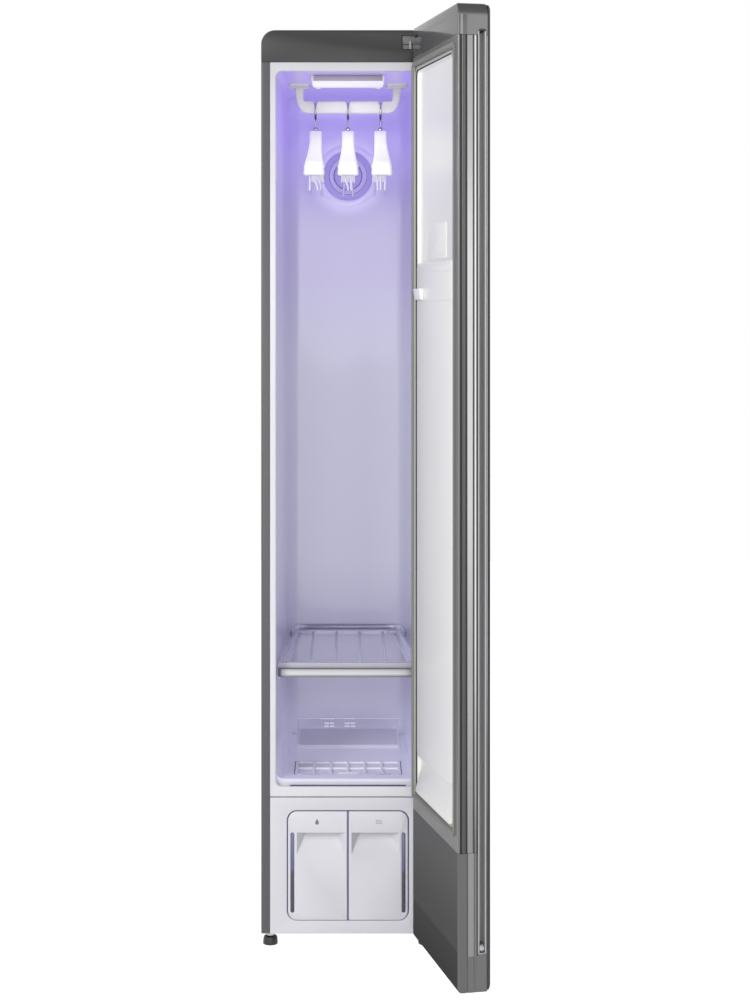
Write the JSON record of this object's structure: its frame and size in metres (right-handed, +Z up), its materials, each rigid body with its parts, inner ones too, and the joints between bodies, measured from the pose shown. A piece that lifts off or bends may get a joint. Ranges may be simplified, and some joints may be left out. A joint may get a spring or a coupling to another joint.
{
  "type": "clothes care steam cabinet",
  "caption": "Tall narrow steam cabinet that refreshes clothes on a shaking rail, with a side-hinged door, shelf and water tanks.",
  "frame": {"origin": "on the floor under the middle of the cabinet body's footprint, without the door", "axes": "+X to the right seen from the front, +Y towards the back wall, +Z up; the front faces -Y"},
  "size_m": [0.4369, 0.8634, 1.85],
  "materials": {
    "case_grey": "satin powder coat",
    "fascia_grey": "gloss",
    "steel": "zinc plated",
    "liner_white": "semi-gloss moulded",
    "panel_white": "gloss",
    "foam": "rigid insulation foam",
    "lamp_metal": "satin",
    "diffuser": "opal",
    "rail_white": "semi-gloss",
    "hanger_white": "fine satin",
    "chrome": "polished",
    "rubber_black": "matte",
    "motor_black": "matte",
    "vent_grey": "satin",
    "shelf_grey": "satin",
    "tank_white": "gloss",
    "window_smoke": "smoked clear",
    "machine_black": "satin",
    "coil_aluminium": "plain",
    "door_grey": "gloss",
    "door_mirror": "dark mirror glass",
    "gasket_grey": "matte",
    "grip_metal": "bright anodised",
    "press_white": "semi-gloss"
  },
  "bodies": {
    "cabinet": {"side_panel_left": "case_grey", "side_panel_right": "case_grey", "top_cover": "fascia_grey", "back_panel": "steel", "base_pan": "steel", "inner_liner": "liner_white", "foam_walls": "foam", "foam_top": "foam", "foam_floor": "foam", "floor_tray": "liner_white", "floor_vent": "vent_grey", "lower_front_panel": "panel_white", "tank_bay": "liner_white", "lamp_housing": "lamp_metal", "lamp_lens": "diffuser", "rail_slot_covers": "rail_white", "drive_frame": "steel", "guide_rods": "chrome", "drive_motor": "motor_black", "drive_belt": "rubber_black", "vent_bezel": "vent_grey", "fan_motor": "motor_black", "shelf_supports": "liner_white", "compressor": "machine_black", "heat_exchanger": "coil_aluminium", "steam_generator": "steel", "steam_nozzle": "vent_grey", "pumps": "motor_black", "control_box": "motor_black", "upper_hinge": "steel", "lower_hinge": "steel"},
    "rail": {"hanger_rail": "rail_white", "rail_carriage": "steel"},
    "crank": {"crank_pulley": "steel"},
    "motor_drive": {"motor_pulley": "steel"},
    "left_hanger": {"hanger_left": "hanger_white", "hook_left": "chrome"},
    "centre_hanger": {"hanger_centre": "hanger_white", "hook_centre": "chrome"},
    "right_hanger": {"hanger_right": "hanger_white", "hook_right": "chrome"},
    "shelf": {"shelf_frame": "shelf_grey", "shelf_trim": "chrome"},
    "supply": {"supply_tank": "tank_white", "supply_tank_window": "window_smoke"},
    "drain": {"drain_tank": "tank_white", "drain_tank_window": "window_smoke"},
    "filter": {"lint_filter": "vent_grey"},
    "fan": {"fan_rotor": "motor_black"},
    "door": {"door_frame": "door_grey", "door_glass": "door_mirror", "door_liner": "liner_white", "door_gasket": "gasket_grey", "handle_channel": "grip_metal"},
    "press": {"press_plate": "press_white"},
    "latch": {"press_latch": "rail_white"},
    "foot_front_left_body": {"foot_front_left": "rubber_black"},
    "foot_front_right_body": {"foot_front_right": "rubber_black"},
    "foot_back_left_body": {"foot_back_left": "rubber_black"},
    "foot_back_right_body": {"foot_back_right": "rubber_black"}
  },
  "joints": [
    {"name": "rail_shake", "type": "slide", "parent": "cabinet", "child": "rail", "axis": [1, 0, 0], "range_m": [-0.007, 0.007]},
    {"name": "crank_turn", "type": "hinge", "parent": "cabinet", "child": "crank", "pos_m": [0, -0.0305, 1.812], "axis": [0, 0, 1], "range_deg": [-91, 91]},
    {"name": "motor_turn", "type": "hinge", "parent": "cabinet", "child": "motor_drive", "pos_m": [0, 0.0745, 1.812], "axis": [0, 0, 1], "range_deg": [-182, 182]},
    {"name": "left_hanger_swing", "type": "hinge", "parent": "rail", "child": "left_hanger", "pos_m": [-0.069, -0.0305, 1.7245], "axis": [1, 0, 0], "range_deg": [-5, 5]},
    {"name": "centre_hanger_swing", "type": "hinge", "parent": "rail", "child": "centre_hanger", "pos_m": [0, -0.0305, 1.7245], "axis": [1, 0, 0], "range_deg": [-5, 5]},
    {"name": "right_hanger_swing", "type": "hinge", "parent": "rail", "child": "right_hanger", "pos_m": [0.069, -0.0305, 1.7245], "axis": [1, 0, 0], "range_deg": [-5, 5]},
    {"name": "shelf_lift", "type": "slide", "parent": "cabinet", "child": "shelf", "axis": [0, 0, 1], "range_m": [0, 0.06]},
    {"name": "supply_slide", "type": "slide", "parent": "cabinet", "child": "supply", "axis": [0, -1, 0], "range_m": [0, 0.215]},
    {"name": "drain_slide", "type": "slide", "parent": "cabinet", "child": "drain", "axis": [0, -1, 0], "range_m": [0, 0.215]},
    {"name": "filter_lift", "type": "slide", "parent": "cabinet", "child": "filter", "axis": [0, 0, 1], "range_m": [0, 0.06]},
    {"name": "fan_spin", "type": "hinge", "parent": "cabinet", "child": "fan", "pos_m": [0, 0.2335, 1.59], "axis": [0, 1, 0], "continuous": true},
    {"name": "foot_front_left_turn", "type": "hinge", "parent": "cabinet", "child": "foot_front_left_body", "pos_m": [-0.1575, -0.2235, 0.02], "axis": [0, 0, 1], "continuous": true},
    {"name": "foot_front_right_turn", "type": "hinge", "parent": "cabinet", "child": "foot_front_right_body", "pos_m": [0.1575, -0.2235, 0.02], "axis": [0, 0, 1], "continuous": true},
    {"name": "foot_back_left_turn", "type": "hinge", "parent": "cabinet", "child": "foot_back_left_body", "pos_m": [-0.1575, 0.2235, 0.02], "axis": [0, 0, 1], "continuous": true},
    {"name": "foot_back_right_turn", "type": "hinge", "parent": "cabinet", "child": "foot_back_right_body", "pos_m": [0.1575, 0.2235, 0.02], "axis": [0, 0, 1], "continuous": true},
    {"name": "door_swing", "type": "hinge", "parent": "cabinet", "child": "door", "pos_m": [0.153, -0.2833, 0.05], "axis": [0, 0, 1], "range_deg": [-102, 0]},
    {"name": "press_swing", "type": "hinge", "parent": "door", "child": "press", "pos_m": [0.19542, -0.56463, 0.9], "axis": [0, 0, 1], "range_deg": [0, 75]},
    {"name": "latch_slide", "type": "slide", "parent": "press", "child": "latch", "axis": [0, 0, 1], "range_m": [0, 0.008]}
  ],
  "couplings": [
    {"joint": "crank_turn", "follows": "rail_shake", "rad_per_m": -224.4},
    {"joint": "motor_turn", "follows": "rail_shake", "rad_per_m": -448.8}
  ]
}
